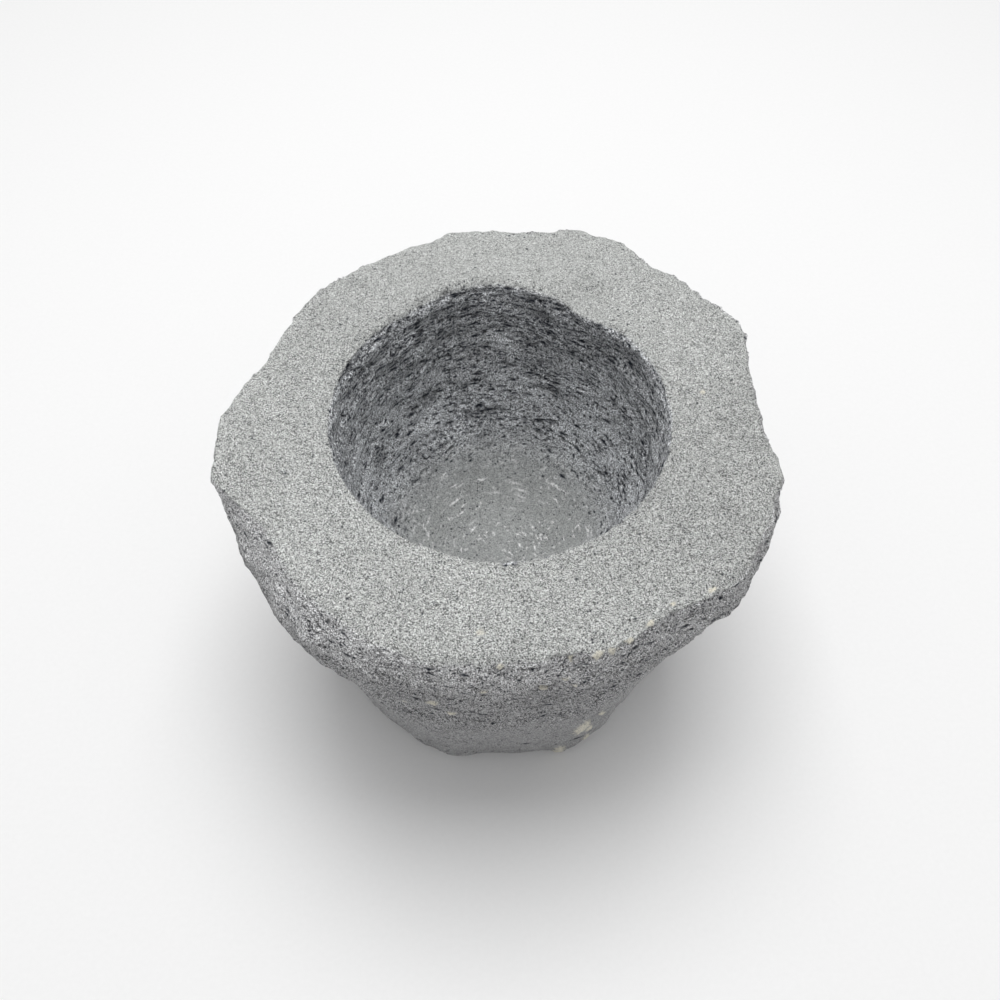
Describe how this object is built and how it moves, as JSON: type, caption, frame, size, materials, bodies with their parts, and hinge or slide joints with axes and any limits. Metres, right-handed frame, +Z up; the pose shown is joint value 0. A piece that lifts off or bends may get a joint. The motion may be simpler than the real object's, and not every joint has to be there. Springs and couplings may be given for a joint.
{
  "type": "molcajete",
  "caption": "Rough-hewn volcanic stone mortar: a heavy block with a wide uneven rim, a round hand-cut bowl and a tapered body on a flat foot.",
  "frame": {"origin": "on the ground, at the middle of the block's outline; the bowl's axis stands 2 mm behind it, at y = +2 mm", "axes": "+Z up, along the bowl's axis; +X along the rim's widest span, to the right seen from the front; -Y towards the front, where the rim's edge is bevelled on the left"},
  "size_m": [0.2, 0.1994, 0.135],
  "materials": {
    "basalt": "rough hewn, vesicular"
  },
  "bodies": {
    "root": {"mortar_body": "basalt"}
  },
  "joints": []
}
